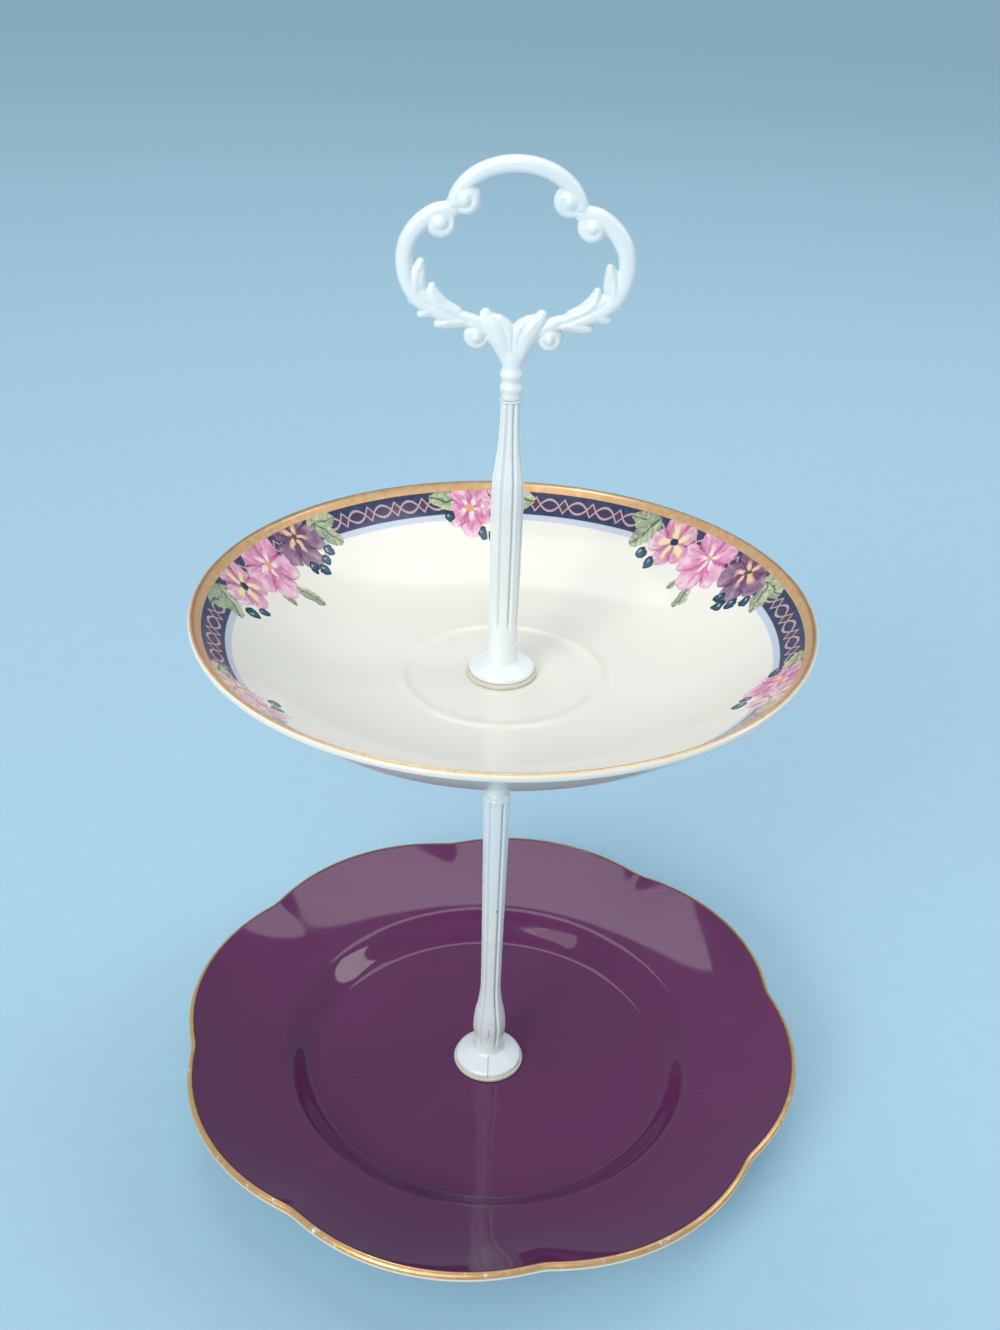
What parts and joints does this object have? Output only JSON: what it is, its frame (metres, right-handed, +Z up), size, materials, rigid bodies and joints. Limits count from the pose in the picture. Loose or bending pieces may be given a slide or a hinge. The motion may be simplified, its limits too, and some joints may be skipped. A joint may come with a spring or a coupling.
{
  "type": "tiered cake stand",
  "caption": "Cake stand of two round china plates on screwed, fluted rods, with a scalloped lower plate, a saucer above it and a scrolled loop handle.",
  "frame": {"origin": "on the table under the lower plate's foot ring, on the rods' common axis", "axes": "+Z up along the rods; +X to the right of the handle's loop as seen from its front, which faces -Y"},
  "size_m": [0.1792, 0.1792, 0.2704],
  "materials": {
    "plum_glazed_china": "gloss glaze over china, plum above and white below, with a gilt rim",
    "white_glazed_china": "gloss glazed bone china with a printed floral border and a gilt rim",
    "white_enamelled_casting": "gloss white enamel on cast zinc alloy",
    "cream_plastic": "translucent cream moulded plastic",
    "zinc_plated_steel": "bright zinc plating"
  },
  "bodies": {
    "lower_plate_body": {"lower_plate": "plum_glazed_china", "base_plastic_washer": "cream_plastic"},
    "stem": {"lower_rod_washer": "cream_plastic", "lower_rod": "white_enamelled_casting", "joining_stud": "zinc_plated_steel", "support_disc": "white_enamelled_casting", "support_washer": "cream_plastic"},
    "upper_plate_body": {"upper_plate": "white_glazed_china"},
    "upper_rod_lift": {"upper_rod_washer": "cream_plastic"},
    "upper_rod_body": {"upper_rod": "white_enamelled_casting"},
    "handle_lift": {"handle_washer": "cream_plastic"},
    "handle_body": {"handle": "white_enamelled_casting", "handle_stud": "zinc_plated_steel"},
    "base_screw_lift": {"base_steel_washer": "zinc_plated_steel"},
    "base_screw_body": {"base_screw": "zinc_plated_steel"}
  },
  "joints": [
    {"name": "stem_turn", "type": "hinge", "parent": "lower_plate_body", "child": "stem", "pos_m": [0, 0, 0.02], "axis": [0, 0, 1], "continuous": true},
    {"name": "upper_plate_turn", "type": "hinge", "parent": "stem", "child": "upper_plate_body", "pos_m": [0, 0, 0.14], "axis": [0, 0, 1], "continuous": true},
    {"name": "upper_rod_rise", "type": "slide", "parent": "stem", "child": "upper_rod_lift", "axis": [0, 0, 1], "range_m": [0, 0.0098]},
    {"name": "upper_rod_unscrew", "type": "hinge", "parent": "upper_rod_lift", "child": "upper_rod_body", "pos_m": [0, 0, 0.15], "axis": [0, 0, 1], "range_deg": [0, 5040]},
    {"name": "handle_rise", "type": "slide", "parent": "upper_rod_body", "child": "handle_lift", "axis": [0, 0, 1], "range_m": [0, 0.007]},
    {"name": "handle_unscrew", "type": "hinge", "parent": "handle_lift", "child": "handle_body", "pos_m": [0, 0, 0.22], "axis": [0, 0, 1], "range_deg": [0, 5040]},
    {"name": "base_screw_drop", "type": "slide", "parent": "stem", "child": "base_screw_lift", "axis": [0, 0, -1], "range_m": [0, 0.0084]},
    {"name": "base_screw_unscrew", "type": "hinge", "parent": "base_screw_lift", "child": "base_screw_body", "pos_m": [0, 0, 0.002], "axis": [0, 0, -1], "range_deg": [0, 4320]}
  ],
  "couplings": [
    {"joint": "upper_rod_unscrew", "follows": "upper_rod_rise", "rad_per_m": 8976},
    {"joint": "handle_unscrew", "follows": "handle_rise", "rad_per_m": 12566},
    {"joint": "base_screw_unscrew", "follows": "base_screw_drop", "rad_per_m": 8976}
  ]
}
